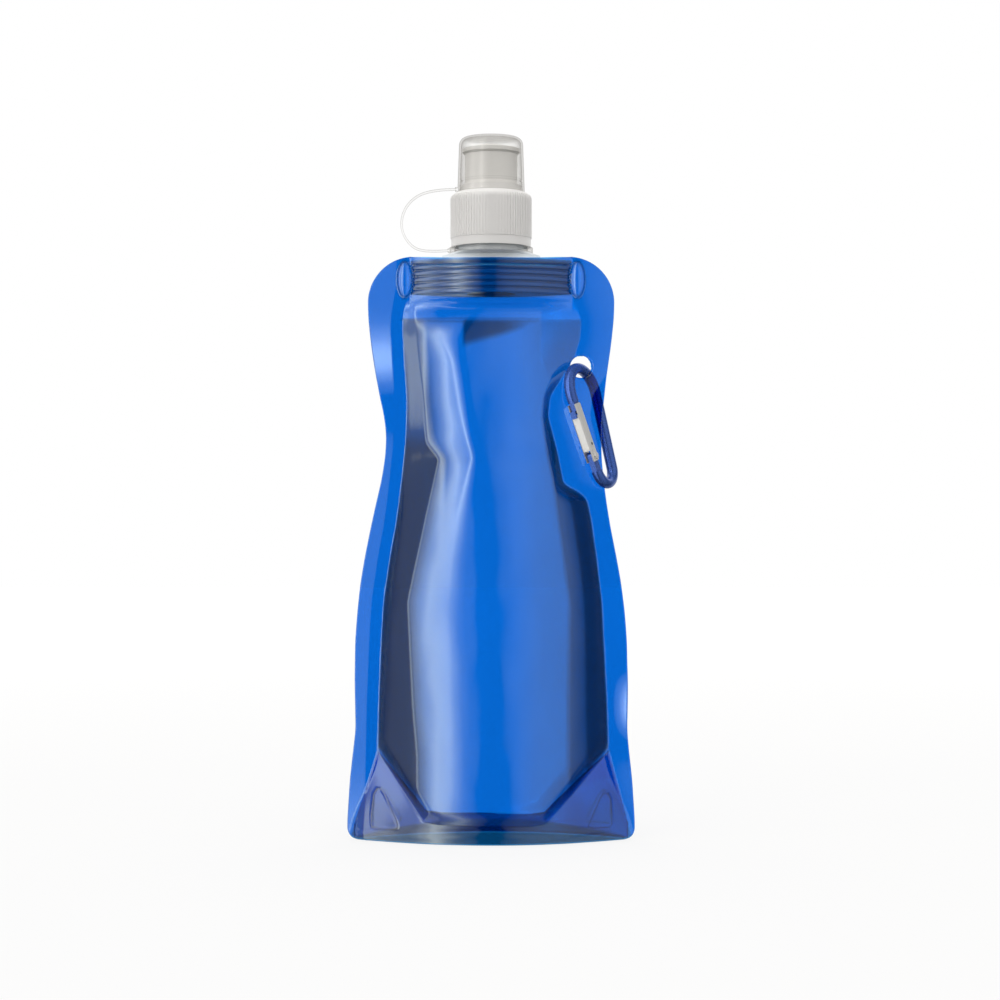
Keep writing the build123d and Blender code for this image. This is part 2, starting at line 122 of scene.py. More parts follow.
def see_through(name, tint, edge_tint, shine, least, roughness, left_under_painted_shade=1.0):
    """A clear skin: it tints what is behind it, and shines more towards its edges.

    The last argument is what is left of the tint where the mesh's painted shade, its "shade" attribute, is
    1.
    """
    material, tree = new_material(name)
    facing = add_node(tree, "LayerWeight", {"Blend": 0.5}).outputs["Facing"]
    steep = math_node(tree, "POWER", facing, EDGE_TINT_POWER)
    colour = add_node(tree, "Mix", {0: steep, 6: tint, 7: edge_tint}, data_type="RGBA").outputs[2]
    # Painted shade: the mesh's "shade" attribute darkens the tint where the film should look shaded
    if left_under_painted_shade < 1.0:
        shade = add_node(tree, "Attribute", attribute_name="shade").outputs["Fac"]
        left = spread(tree, shade, 1.0, left_under_painted_shade)
        colour = add_node(tree, "VectorMath", {0: colour, "Scale": left}, operation="SCALE").outputs[0]
    clear = add_node(tree, "BsdfTransparent", {"Color": colour})
    gloss = add_node(tree, "BsdfPrincipled", {
        "Base Color": shine,
        "Metallic": 1.0,
        "Roughness": spread(tree, noise_node(tree, 260.0), roughness * 0.8, roughness * 1.25),
        "Normal": bump(tree, noise_node(tree, 90.0, 4.0), 0.08, 0.0005)})
    mirror = math_node(tree, "MULTIPLY", math_node(tree, "POWER", facing, GLANCE_POWER), GLANCE_SHINE)
    mirror = math_node(tree, "ADD", mirror, least)
    mixed = {0: mirror, 1: clear.outputs[0], 2: gloss.outputs[0]}
    finish_material(tree, add_node(tree, "MixShader", mixed))
    return material


def moulded(name, colour, roughness, milky=0.15, grain=700.0, depth=0.00005):
    """A moulded plastic, slightly milky, with a fine grain and a little colour variation."""
    material, tree = new_material(name)
    fine = noise_node(tree, grain)
    shader = add_node(tree, "BsdfPrincipled", {
        "Base Color": varied(tree, colour, 45.0, 0.95, 1.04),
        "Roughness": spread(tree, fine, roughness - 0.05, roughness + 0.07),
        "Subsurface Weight": milky,
        "Subsurface Radius": (1.0, 1.0, 1.0),
        "Subsurface Scale": 0.002,
        "Normal": bump(tree, fine, 0.25, depth)})
    finish_material(tree, shader)
    return material


def metal(name, colour, roughness, brushed=(1, 1, 1), coat=0.0, metallic=1.0):
    """A metal with fine marks along one direction."""
    material, tree = new_material(name)
    marks = noise_node(tree, 900.0, 4.0, brushed)
    shader = add_node(tree, "BsdfPrincipled", {
        "Base Color": varied(tree, colour, 120.0, 0.85, 1.1),
        "Metallic": metallic,
        "Roughness": spread(tree, marks, roughness * 0.7, roughness * 1.4),
        "Coat Weight": coat,
        "Normal": bump(tree, marks, 0.1, 0.00003)})
    finish_material(tree, shader)
    return material


FILM_TINT = (0.235, 0.67, 0.985, 1)
LEAF_TINT = (0.42, 0.83, 0.97, 1)
FILM_EDGE = (0.05, 0.2, 0.5, 1)
CLEAR_TINT, CLEAR_EDGE = (0.985, 0.983, 0.978, 1), (0.62, 0.61, 0.6, 1)

film_look = see_through("blue_film", FILM_TINT, FILM_EDGE, (1, 0.9, 0.64, 1), 0.1, 0.05, left_under_painted_shade=0.62)
leaf_look = see_through("gusset_film", LEAF_TINT, FILM_EDGE, (1, 0.95, 0.85, 1), 0.04, 0.1, left_under_painted_shade=0.62)
clear_look = see_through("clear_plastic", CLEAR_TINT, CLEAR_EDGE, (1, 1, 1, 1), 0.02, 0.06)
cap_look = moulded("cap_plastic", (0.89, 0.88, 0.87, 1), 0.38)
nozzle_look = moulded("nozzle_plastic", (0.87, 0.86, 0.84, 1), 0.42)
spout_look = moulded("spout_plastic", (0.82, 0.86, 0.9, 1), 0.35, milky=0.3)
liner_look = moulded("liner_plastic", (0.9, 0.9, 0.88, 1), 0.7)
blue_metal = metal("blue_anodised", (0.07, 0.17, 0.62, 1), 0.26, coat=0.3, metallic=0.6)
steel_look = metal("bright_steel", (0.92, 0.92, 0.91, 1), 0.3, brushed=(1, 1, 0.05), metallic=0.55)
dark_steel = metal("dark_steel", (0.2, 0.21, 0.23, 1), 0.35)


def paint(piece, material):
    """Gives a piece one material."""
    piece.data.materials.clear()
    piece.data.materials.append(material)


# ---------------------------------------------------------------- curves and distances
def smooth(points, blur):
    """A function through a few (place, value) points, rounded over the length blur."""
    at, value = np.array(sorted(points), float).T
    fine = np.arange(at[0] - 2 * blur, at[-1] + 2 * blur, blur / 12)
    weight = np.hanning(25)
    padded = np.pad(np.interp(fine, at, value), 12, mode="edge")
    soft = np.convolve(padded, weight / weight.sum(), "valid")
    return lambda place: np.interp(place, fine, soft)


def ease(value, low, high):
    """0 below low and 1 above high, turning smoothly between them."""
    share = np.clip((value - low) / (high - low), 0, 1)
    return share * share * (3 - 2 * share)


def fade(value, low, high):
    """1 below low and 0 above high, turning smoothly between them."""
    return 1 - ease(value, low, high)


def peak(away, width):
    """1 where away is 0, falling off to nearly nothing over about twice the width."""
    return np.exp(-(away / width) ** 2)


def distance(x, z, points):
    """How far each place is from the line through points."""
    nearest = np.full(np.shape(x), np.inf)
    for (x0, z0), (x1, z1) in zip(points, points[1:]):
        dx, dz = x1 - x0, z1 - z0
        along = np.clip(((x - x0) * dx + (z - z0) * dz) / (dx * dx + dz * dz), 0, 1)
        nearest = np.minimum(nearest, np.hypot(x - x0 - along * dx, z - z0 - along * dz))
    return nearest


def wander(x, z, size, seed):
    """Slow irregular waves of about that size in mm, between about -0.5 and 0.5."""
    flat = [noise.noise(Vector((a / size, b / size, seed))) for a, b in zip(x.ravel(), z.ravel())]
    return np.array(flat).reshape(x.shape)


# ---------------------------------------------------------------- mesh helpers
def smooth_piece(name, points, cells):
    """A smooth-shaded object from points in mm."""
    mesh = bpy.data.meshes.new(name)
    mesh.from_pydata((points.reshape(-1, 3) * MM).tolist(), [], cells)
    mesh.shade_smooth()
    piece = bpy.data.objects.new(name, mesh)
    bpy.context.scene.collection.objects.link(piece)
    return piece


def sheet_mesh(name, points, dropped=None):
    """A sheet with a vertex at each of rows x columns points, in mm, less the dropped cells."""
    rows, columns = points.shape[:2]
    index = np.arange(rows * columns).reshape(rows, columns)
    cells = np.stack([index[:-1, :-1], index[:-1, 1:], index[1:, 1:], index[1:, :-1]], -1)
    cells = cells.reshape(-1, 4)
    if dropped is not None:
        cells = cells[~dropped]
    return smooth_piece(name, points, cells.tolist())


def tube_mesh(name, rings):
    """A closed solid through rings of points, in mm, with a flat cell on each end."""
    rows, columns = rings.shape[:2]
    index = np.arange(rows * columns).reshape(rows, columns)
    after = np.roll(index, -1, axis=1)
    sides = np.stack([index[:-1], after[:-1], after[1:], index[1:]], -1).reshape(-1, 4).tolist()
    ends = [index[0, ::-1].tolist(), index[-1].tolist()]
    return smooth_piece(name, rings, sides + ends)


def thicken(piece, thickness, offset):
    """Makes a sheet solid, thickness in mm; offset says to which side of its normals it grows."""
    solid = piece.modifiers.new("thickness", "SOLIDIFY")
    solid.thickness = thickness * MM
    solid.offset = offset


def give_shade(piece, shade):
    """Stores the painted shade at each point of a film for its material."""
    stored = piece.data.attributes.new("shade", "FLOAT", "POINT")
    stored.data.foreach_set("value", shade.ravel().astype(np.float32))


# ---------------------------------------------------------------- the pouch's outline
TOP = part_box("front_film")[1][2] / MM
SHOULDER = 17.5  # radius of the top corners
SIDE_TOP = TOP - SHOULDER
CORNER = 4.0  # radius of the bottom corners
FILM = 0.27  # thickness of a film
LEAF = 0.2  # thickness of the gusset
CREASE = 197.0  # height of the cross crease below the shoulders
HOLE_X, HOLE_Z, HOLE_RADIUS = 34.0, 179.1, 4.2

# The weld between the gusset and the films: across the base and up to the side seams
BASE_HALF = 53.8
LEFT_CORNER, RIGHT_CORNER = (-42.9, 33.0), (44.5, 33.0)
WELD = [(-53.2, 0.6), LEFT_CORNER, (-25, 8.2), (-19, 7.1), (15, 6.8), (20.5, 7.4), RIGHT_CORNER,
        (53.2, 0.6)]
WELD_LINE = WELD[1:-1]

# The rounded triangles pressed into the front film's bottom corners
TRIANGLES = [
    [(-43.8, 4.9), (-36.0, 4.7), (-34.9, 5.3), (-34.8, 6.4), (-35.6, 8.6), (-40.0, 17.4),
     (-41.4, 19.2), (-43.0, 19.2), (-44.2, 17.2), (-45.0, 10.0), (-45.0, 6.0), (-44.7, 5.2)],
    [(44.6, 5.2), (37.6, 5.0), (36.6, 5.6), (36.7, 6.8), (37.8, 9.0), (41.2, 16.0),
     (42.4, 17.6), (44.0, 17.4), (45.0, 15.6), (45.6, 9.6), (45.6, 6.4), (45.2, 5.4)]]

# The film's hold on the ribbed base of the spout, and the small blisters at its two ends
BOAT_BOTTOM, BOAT_TOP = 206.5, 219.5
BOAT_HALF, BOAT_DEPTH = 30.7, 11.75
RIB_STEP = 2.37
FIRST_RIB = BOAT_BOTTOM + 0.65
BLISTER_X, BLISTER_Z = 32.8, 212.3
BLISTER_HALF_WIDTH, BLISTER_HALF_HEIGHT, BLISTER_RISE = 2.9, 6.8, 2.3

# Half-widths of the pouch by height: out to its edge on each side, then in to its side seams
left_side = smooth([
    (0, 54.4), (6, 54.6), (22, 53.6), (33, 52.4), (41, 51.4), (60, 51.8), (75, 51.6), (86, 50.8),
    (97, 49.6), (107, 47.9), (118, 45.7), (128, 43.5), (136, 41.6), (145, 40.2), (153, 39.8),
    (161, 40.8), (166, 42), (176, 43.9), (187, 45.6), (197, 46.7), (203.5, 46.9)], 6.0)
right_side = smooth([
    (0, 54.4), (6, 54.6), (22, 53.6), (33, 52.4), (41, 51.6), (60, 51.9), (75, 51.6), (86, 50.8),
    (97, 49.4), (107, 47.6), (118, 45.4), (128, 43.8), (136, 42.8), (145, 42.0), (153, 42.0),
    (161, 42.4), (176, 44.0), (187, 45.6), (197, 46.7), (203.5, 46.9)], 6.0)
left_seal = smooth([
    (0, 43.5), (33, 42.9), (52, 42.5), (75, 41.6), (90, 40.7), (106, 38.4), (121, 35.7), (135, 34.0),
    (151, 32.4), (166, 31.9), (181, 33.0), (196, 33.8), (204, 32.5), (210, 31.2)], 8.0)
right_seal = smooth([
    (0, 44.5), (33, 44.5), (52, 43.9), (90, 42.0), (107, 40.0), (121, 38.0), (128, 36.6),
    (131, 34.0), (134, 27.5), (147, 25.0), (160, 21.6), (168, 22.4), (175, 27.0), (182, 31.5),
    (190, 34.0), (196, 34.5), (204, 32.5), (210, 31.2)], 3.0)

# How the welded side strips lean out of the middle plane, by height
left_lean = smooth([
    (0, 0.2), (30, 0.12), (90, 0.1), (150, 0.1), (160, 0.02), (168, 0.03), (177, 0.24), (184, 0.28),
    (192, 0.18), (200, 0.1), (221, 0.1)], 8)
right_lean = smooth([
    (0, 0.0), (28, 0.05), (38, -0.1), (46, -0.28), (56, -0.24), (66, -0.02), (128, 0.0),
    (138, 0.03), (150, 0.04), (221, 0.05)], 8)

# ---------------------------------------------------------------- the films' cross-sections
# Each film is given by lines down its face, from the left seam to the right wall. A line says
# where it runs and how steeply the film climbs towards +X there, both by height


def crease(place, place_blur, slope, slope_blur):
    """A line down a film: its x and the film's slope there, as functions of the height."""
    return smooth(place, place_blur), smooth(slope, slope_blur)


WALL_LINES = 3  # this many lines run down the steep left wall
FRONT = [
    crease([(33, -42.0), (52, -41.8), (90, -40.0), (121, -35.0), (151, -31.8), (166, -31.3),
            (181, -32.4), (204, -32.0)], 6,
           [(0, 1.7), (121, 1.6), (131, 1.3), (142, 0.78), (190, 0.72), (200, 0.35)], 6),
    crease([(33, -36.5), (52, -35.7), (90, -37.0), (121, -32.0), (140, -29.0), (151, -30.5),
            (204, -30.8)], 6,
           [(0, 1.2), (110, 1.25), (131, 1.2), (141, 0.7), (190, 0.64), (198, 0.3)], 6),
    crease([(33, -28.0), (52, -29.6), (90, -31.6), (121, -25.2), (136, -21.8), (144, -19.6),
            (150, -24.6), (166, -25.6), (182, -27.6), (193, -28.8), (204, -29.4)], 3,
           [(0, 0.98), (90, 1.0), (121, 1.15), (136, 1.1), (144, 0.66), (193, 0.6), (198, 0.28)], 4),
    crease([(33, -26.6), (52, -28.2), (90, -30.2), (121, -23.8), (136, -20.4), (144, -18.6),
            (150, -23.4), (166, -24.6), (182, -26.6), (193, -27.6), (204, -28.4)], 3,
           [(0, 0.44), (121, 0.44), (136, 0.4), (144, 0.25), (166, 0.2), (182, 0.36), (193, 0.4),
            (198, 0.12)], 4),
    crease([(33, -22.0), (52, -21.5), (90, -22.5), (121, -17.0), (136, -16.5), (144, -16.0),
            (151, -20.5), (166, -22.6), (182, -23.0), (193, -24.0), (204, -22.0)], 4,
           [(0, 0.335), (110, 0.335), (124, 0.3), (136, 0.18), (151, 0.12), (182, 0.13),
            (193, 0.22), (198, 0.08)], 5),
    crease([(33, -15.0), (52, -15.4), (90, -16.0), (121, -13.2), (136, -10.0), (144, -7.8),
            (151, -9.9), (166, -13.4), (182, -15.6), (190, -19.5), (204, -20.0)], 4,
           [(0, 0.25), (110, 0.27), (124, 0.32), (144, 0.4), (166, 0.4), (182, 0.38), (190, 0.33),
            (198, 0.03)], 4),
    crease([(0, -6.6), (22, -7.2), (52, -7.6), (90, -9.9), (121, -8.0), (136, -6.8), (144, -6.1),
            (151, -7.6), (166, -9.5), (182, -12.0), (190, -12.4), (197, -8.8), (206, -3.0)], 3,
           [(0, 0.088), (198, 0.088), (204, 0.06)], 4),
    crease([(0, 7.0), (22, 6.5), (52, 4.9), (90, 3.8), (121, 0.8), (136, -2.7), (144, -4.6),
            (151, -3.8), (166, -6.5), (182, -9.0), (190, -9.6), (197, -5.6), (206, 0.5)], 3,
           [(0, -0.045), (204, -0.045)], 4),
    crease([(33, 12.0), (90, 10.0), (121, 7.0), (144, 3.0), (166, 2.0), (204, 2.0)], 4,
           [(0, -0.12), (121, -0.12), (166, -0.09), (190, -0.16), (198, -0.09)], 4),
    crease([(33, 28.0), (52, 28.1), (90, 28.4), (121, 24.2), (136, 22.8), (144, 20.5), (151, 19.0),
            (166, 18.0), (175, 20.0), (182, 17.0), (204, 18.0)], 4,
           [(0, -0.36), (121, -0.38), (140, -0.32), (166, -0.24), (182, -0.3), (198, -0.2)], 4),
]
# The back film has fewer lines and no facets
BACK = [
    crease([(33, -42.0), (90, -40.0), (121, -35.0), (151, -31.8), (204, -32.0)], 8,
           [(0, 1.5), (121, 1.4), (190, 0.8), (200, 0.5)], 8),
    crease([(33, -29.5), (90, -31.0), (121, -27.0), (151, -26.0), (204, -27.0)], 8,
           [(0, 1.0), (121, 1.0), (150, 0.75), (193, 0.6), (200, 0.4)], 8),
    crease([(33, -27.5), (90, -29.5), (121, -25.5), (151, -24.5), (204, -25.0)], 8,
           [(0, 0.42), (121, 0.4), (193, 0.3), (200, 0.3)], 8),
    crease([(0, 2.0), (204, 0.0)], 8, [(0, 0.0), (204, 0.0)], 8),
    crease([(33, 27.0), (90, 27.5), (121, 24.0), (151, 19.0), (204, 21.0)], 8,
           [(0, -0.38), (121, -0.36), (204, -0.25)], 8),
]
# How far each film stands off at MIDDLE_X, by height: the left wall's slopes make up the difference
MIDDLE_X = -2.0
FRONT_MIDDLE = smooth([
    (20, 23), (52, 22.5), (80, 20.5), (100, 19.6), (116, 19.4), (132, 18.2), (142, 15.8),
    (150, 12.0), (156, 10.0), (164, 9.0), (172, 8.3), (180, 7.8), (188, 7.3), (197, 4.6),
    (204, 2.2)], 7)
BACK_MIDDLE = smooth([
    (20, 24), (52, 22.8), (76, 20.6), (100, 18.5), (124, 16.1), (148, 11.8), (172, 9.8), (188, 9.2),
    (197, 7.5), (204, 6.5)], 10)
# Where both films turn down to the right seam
right_wall = smooth([
    (33, 29.4), (52, 29.4), (90, 29.8), (121, 25.6), (136, 23.6), (144, 21.8), (160, 19.4),
    (168, 20.0), (175, 23.0), (182, 19.0), (204, 19.0)], 3)


def section(x, z, lines, middle, samples=600):
    """How far a film stands off between the side seams, summed up from its slopes row by row."""
    stand_off = np.zeros(x.shape)
    for row, height in enumerate(z[:, 0]):
        left, right = -left_seal(height), right_seal(height)
        wall = min(right_wall(height), right - 1.5)
        along = np.linspace(left, right, samples)
        places = np.maximum.accumulate([left] + [place(height) for place, slope in lines])
        slopes = [lines[0][1](height)] + [slope(height) for place, slope in lines]
        climb = np.interp(along, places, slopes) * (right - left) / (samples - 1)
        depth = np.cumsum(climb) - climb[0]
        missing = middle(height) - np.interp(MIDDLE_X, along, depth)
        depth = depth + missing * np.clip((along - left) / (places[WALL_LINES] - left), 0, 1)
        edge = np.interp(wall, along, depth)
        fall = np.clip((along - wall) / (right - wall), 0, 1)
        depth = np.where(along > wall, edge * (1 - fall) * (1 + 0.25 * fall), depth)
        stand_off[row] = np.interp(x[row], along, depth, left=0.0, right=0.0)
    return stand_off


# ---------------------------------------------------------------- the pouch's shape
def outline(side, z):
    """Half-width of the pouch at each height, with its rounded corners."""
    wide = side(np.clip(z, 0, SIDE_TOP))
    corner = CORNER - np.sqrt(np.clip(CORNER**2 - np.clip(CORNER - z, 0, CORNER) ** 2, 0, None))
    rise = np.clip(z - SIDE_TOP, 0, SHOULDER)
    return wide - corner - SHOULDER + np.sqrt(SHOULDER**2 - rise**2)


def film_grid(columns, rows, top_rows=64, fine_top=24):
    """x and z of the grid that a film is made on, with finer rows up to fine_top."""
    fine = np.arange(0, fine_top, 0.8 * (SIDE_TOP - fine_top) / rows)
    straight = np.concatenate([fine, np.linspace(fine_top, SIDE_TOP, rows)])
    turn = np.linspace(0, math.pi / 2, top_rows)[1:]
    z = np.concatenate([straight, SIDE_TOP + SHOULDER * np.sin(turn)])[:, None]
    share = np.linspace(-1, 1, columns)[None, :]
    x = np.where(share < 0, share * outline(left_side, z), share * outline(right_side, z))
    return x, np.broadcast_to(z, x.shape)


def weld_height(x):
    """Height of the weld between the gusset and the films."""
    places, heights = np.array(WELD, float).T
    return np.interp(x, places, heights)


def inside_weld(x, z):
    """Distance in from the gusset's weld, 0 outside it."""
    return np.where(z > weld_height(x), distance(x, z, WELD_LINE), 0.0)


def foot(x, z):
    """How far the films and the gusset stand off below and beside the weld, where the base is open."""
    half = BASE_HALF - 10.6 * ease(z, 0, 33)
    deep = 20.5 * fade(z, 12, 60)
    return deep * np.clip(1 - (x / half) ** 2, 0, None)


def rib_wave(z):
    """1 at the middle of each rib of the spout's base and 0 halfway between two."""
    return 0.5 + 0.5 * np.cos((z - FIRST_RIB) / RIB_STEP * 2 * math.pi)


def round_boat(x, z):
    """How far the film stands off where it is drawn tight over the ribs of the spout's base."""
    radius = (BOAT_HALF**2 + BOAT_DEPTH**2) / (2 * BOAT_DEPTH)
    bow = np.sqrt(radius**2 - np.clip(x, -BOAT_HALF, BOAT_HALF) ** 2) - (radius - BOAT_DEPTH)
    sag = 0.5 * (1 - rib_wave(z)) ** 2 * fade(z, BOAT_TOP - 0.5, BOAT_TOP + 0.5)
    return np.clip(bow, 0, None) - sag * np.clip(bow / 2, 0, 1)


def from_blister(x, z):
    """0 in the middle of a blister beside the spout's base, 1 at its rim."""
    across = (np.abs(x) - BLISTER_X) / BLISTER_HALF_WIDTH
    return np.hypot(across, (z - BLISTER_Z) / BLISTER_HALF_HEIGHT)


def blisters(x, z):
    """The small domes of film at both ends of the spout's base."""
    return BLISTER_RISE * np.sqrt(np.clip(1 - from_blister(x, z) ** 2, 0, None))


def flap_lean(x, z):
    """How far the welded side strips lean out of the middle plane."""
    outside_left = np.clip(-left_seal(z) - 4.5 - x, 0, None)
    outside_right = np.clip(x - right_seal(z), 0, 16)
    return left_lean(z) * outside_left + right_lean(z) * outside_right**2 / 12


def embossed(x, z):
    """Distance from the outlines of the rounded triangles pressed into the bottom corners."""
    return np.min([distance(x, z, corners + corners[:1]) for corners in TRIANGLES], axis=0)


def film_stand_off(x, z, side, lines, middle, seed):
    """How far a film stands off the middle plane, with all its creases."""
    base = foot(x, z)
    into = np.maximum(ease(inside_weld(x, z), -1.0, 5.5), ease(z, 33, 40))
    stand_off = base + into * np.clip(section(x, z, lines, middle) - base, 0, None)
    free = np.clip(stand_off / 6.0, 0, 1)
    waves = 0.5 * wander(x, 0.3 * z, 26.0, seed) + 0.1 * wander(x, 0.6 * z, 9.0, seed + 5)
    stand_off = stand_off + free * waves
    tight = ease(z, 199.0, 207.0)
    stand_off = stand_off * (1 - tight) + round_boat(x, z) * tight + blisters(x, z)
    hem_creases = wander(0.12 * x, z, 1.5, seed + 9) * fade(z, 5, 8) * ease(z, 0.3, 1.5)
    stand_off = stand_off + 0.35 * hem_creases
    if side < 0:
        stand_off = stand_off + 0.24 * peak(embossed(x, z), 0.4)
    stand_off = stand_off - 0.16 * peak(distance(x, z, WELD_LINE), 0.4)
    least = 0.04 + 0.42 * ease(weld_height(x) - z, -0.5, 0.5)  # leaves room for the gusset's leaf
    return np.maximum(stand_off, least)


def punch_hole(x, z):
    """Draws the grid in to the carabiner's hole: the new x and z, and which cells drop out."""
    away = np.hypot(x - HOLE_X, z - HOLE_Z)
    cells = [away[:-1, :-1], away[:-1, 1:], away[1:, 1:], away[1:, :-1]]
    dropped = (np.mean(cells, axis=0) < HOLE_RADIUS).reshape(-1)
    edge = (away > HOLE_RADIUS - 0.75) & (away < HOLE_RADIUS + 0.75)
    scale = np.where(edge, HOLE_RADIUS / np.maximum(away, 0.01), 1.0)
    return HOLE_X + (x - HOLE_X) * scale, HOLE_Z + (z - HOLE_Z) * scale, dropped


# ---------------------------------------------------------------- painted shade on the films
# Painted shade that stands in for the dark strips where the films turn away, and for the shade on the base
# and over the spout's ribs
LEFT_WALL_END, LEFT_FACE_START, STRIPE_START = FRONT[2][0], FRONT[3][0], FRONT[6][0]


def painted_hem_shade(x, z):
    """Painted shade on the bottom hem, where it is seen with no second film behind it, standing in for the
    shade under the pouch.
    """
    line = 5.0 * np.clip(1 - (x / BASE_HALF) ** 2, 0, None)
    return 0.8 * fade(z, line - 0.5, line + 0.6)


def painted_side_shade(x, z):
    """Painted shade on the steep walls inside both side seams, where the films turn away, and paler painted
    shade beside them.
    """
    seam = -left_seal(z)
    inside_left = ease(x, seam - 0.3, seam + 0.6)
    wall = (0.95 - 0.5 * ease(z, 146, 158)) * fade(x, LEFT_WALL_END(z) - 0.6, LEFT_FACE_START(z) + 0.5)
    start = LEFT_FACE_START(z)
    beside = 0.36 * fade(x, start - 1.0, start + 4.0) + 0.24 * fade(x, start, STRIPE_START(z) - 1.0)
    left = inside_left * np.maximum(wall, beside)

    seam = right_seal(z)
    inside_right = fade(x, seam - 0.6, seam + 0.3)
    turn = right_wall(z)
    darker = 0.55 * turn + 0.45 * seam
    far = 0.62 * ease(x, turn - 0.8, turn + 0.3) + 0.33 * ease(x, darker - 0.4, darker + 0.4)
    right = inside_right * far * fade(z, 146, 176)

    # Painted shade that grows towards the right seam
    drift = 0.34 * ease(x, 7, 27) * inside_right
    below = fade(z, CREASE - 0.3, CREASE + 0.2) * ease(inside_weld(x, z), 0.0, 2.0)
    return below * np.max([left, right, drift], axis=0)


def painted_crease_shade(x, z):
    """A painted shade line along the cross crease, and painted shade on the facet that hangs below it."""
    line = 0.5 * peak(z - CREASE, 0.35) * ease(x, -35, -33) * fade(x, 17, 20)
    low_edge, high_edge = 186.5 + 0.3 * (x + 10), 189.5 + 0.24 * (x + 10)
    facet = ease(z, low_edge, high_edge) * fade(z, CREASE - 0.6, CREASE - 0.1)
    facet = facet * ease(x, -11.5, -9.5) * fade(x, 2, 20)
    return np.maximum(line, 0.75 * facet)


def weld_line_and_painted_shade(x, z):
    """The dark line of the gusset's weld, painted shade on the panels outside it, and painted shade along
    the outlines pressed into them.
    """
    weld = 0.75 * peak(distance(x, z, WELD_LINE), 0.25)
    panel = np.maximum(painted_hem_shade(x, z), 0.4 * (1 - 0.6 * ease(z, 6, 24)))
    panel = panel * ease(weld_height(x) - z, -0.3, 0.3)
    return np.max([weld, panel, peak(embossed(x, z), 0.3)], axis=0)


def painted_boat_shade(x, z):
    """Painted shade over the ribbed base of the spout, darker between its ribs, and painted shade round the
    blisters' rims.
    """
    boat = 0.36 * ease(z, 206.0, 207.0) * fade(z, 218.6, 219.6)
    boat = boat * fade(np.abs(x), BOAT_HALF - 0.5, BOAT_HALF + 0.5)
    boat = boat * (1 + 0.9 * (1 - rib_wave(z)) ** 4)
    return np.maximum(boat, 0.4 * peak(from_blister(x, z) - 1.0, 0.12))


def painted_film_shade(x, z):
    """The painted shade on a film, 0 to 1: the darkest of its parts."""
    parts = [part(x, z) for part in (painted_side_shade, painted_crease_shade, weld_line_and_painted_shade, painted_boat_shade)]
    return np.clip(np.max(parts, axis=0), 0, 1)


# ---------------------------------------------------------------- the pouch's pieces
def finish_skin(piece, node, thickness, offset, shade, look):
    """Makes a sheet of the pouch solid, gives it its painted shade, paints it, and puts it in its node's
    place.
    """
    give_shade(piece, shade)
    thicken(piece, thickness, offset)
    paint(piece, look)
    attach(piece, "pouch")
    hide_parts(node)


def film(node, side, lines, middle, seed, columns, rows):
    """One film; side is -1 for the front and 1 for the back."""
    x, z = film_grid(columns, rows)
    y = side * film_stand_off(x, z, side, lines, middle, seed) + flap_lean(x, z)
    if side < 0:
        dip = 1.5 * ease(z, 214, TOP) * np.exp(-(x / 26.0) ** 4)  # below the neck
        z = z - dip
    x, z, dropped = punch_hole(x, z)
    piece = sheet_mesh(node + "_skin", np.stack([x, y, z], -1), dropped)
    finish_skin(piece, node, FILM, -side, painted_film_shade(x, z), film_look)


def gusset(half=51.8, columns=150, leaf_rows=26, arch_rows=40):
    """The bottom gusset: a leaf welded inside each film, and an arch between them."""
    x = np.linspace(-half, half, columns)[None, :]
    top = weld_height(x)
    z = 0.4 + np.linspace(0, 1, leaf_rows)[:, None] * (top - 0.4)
    x_leaf = np.broadcast_to(x, z.shape)
    y = np.maximum(foot(x_leaf, z) - 0.35, 0.04)
    front = np.stack([x_leaf, -y, z], -1)
    back = (front * np.array([1, -1, 1]))[::-1]
    across = np.linspace(-1, 1, arch_rows + 2)[1:-1, None]
    y_arch = y[-1] * across
    x_arch = np.broadcast_to(x, y_arch.shape)
    rise = 1.6 * (1 - across**2) * fade(np.abs(x), 25.0, 46.0)
    rise = rise + 0.8 * wander(x_arch, y_arch, 14.0, 7.0) * (1 - across**4)
    arch = np.stack([x_arch, y_arch, top + np.clip(rise, 0, None)], -1)
    points = np.concatenate([front, arch, back])
    piece = sheet_mesh("bottom_gusset_skin", points)
    # The gusset's leaf carries the hem's painted shade
    finish_skin(piece, "bottom_gusset", LEAF, 1.0, painted_hem_shade(points[..., 0], points[..., 2]), leaf_look)


# ---------------------------------------------------------------- tether strap
STRAP_ROUTE = [(-16.0, 0, 223.3), (-24, 0, 222.7), (-30.5, 0, 224.5), (-34.8, 0, 232),
               (-32.5, 0, 241), (-24, 0, 246.6), (-13.2, 0, 246.6)]
STRAP_WIDTH, STRAP_THICKNESS = 2.8, 0.85


def strap_middle():
    """Points along the strap's middle line, in mm."""
    curve = bpy.data.curves.new("tether_loop", "CURVE")
    curve.dimensions = "3D"
    line = curve.splines.new("NURBS")
    line.points.add(len(STRAP_ROUTE) - 1)
    for point, place in zip(line.points, STRAP_ROUTE):
        point.co = (place[0] * MM, place[1] * MM, place[2] * MM, 1)
    line.order_u = 3
    line.use_endpoint_u = True
    line.resolution_u = 24
    middle = bpy.data.objects.new("tether_middle", curve)
    bpy.context.scene.collection.objects.link(middle)
    path = bpy.data.meshes.new_from_object(middle)
    points = np.array([vertex.co for vertex in path.vertices]) / MM
    bpy.data.objects.remove(middle)
    return points


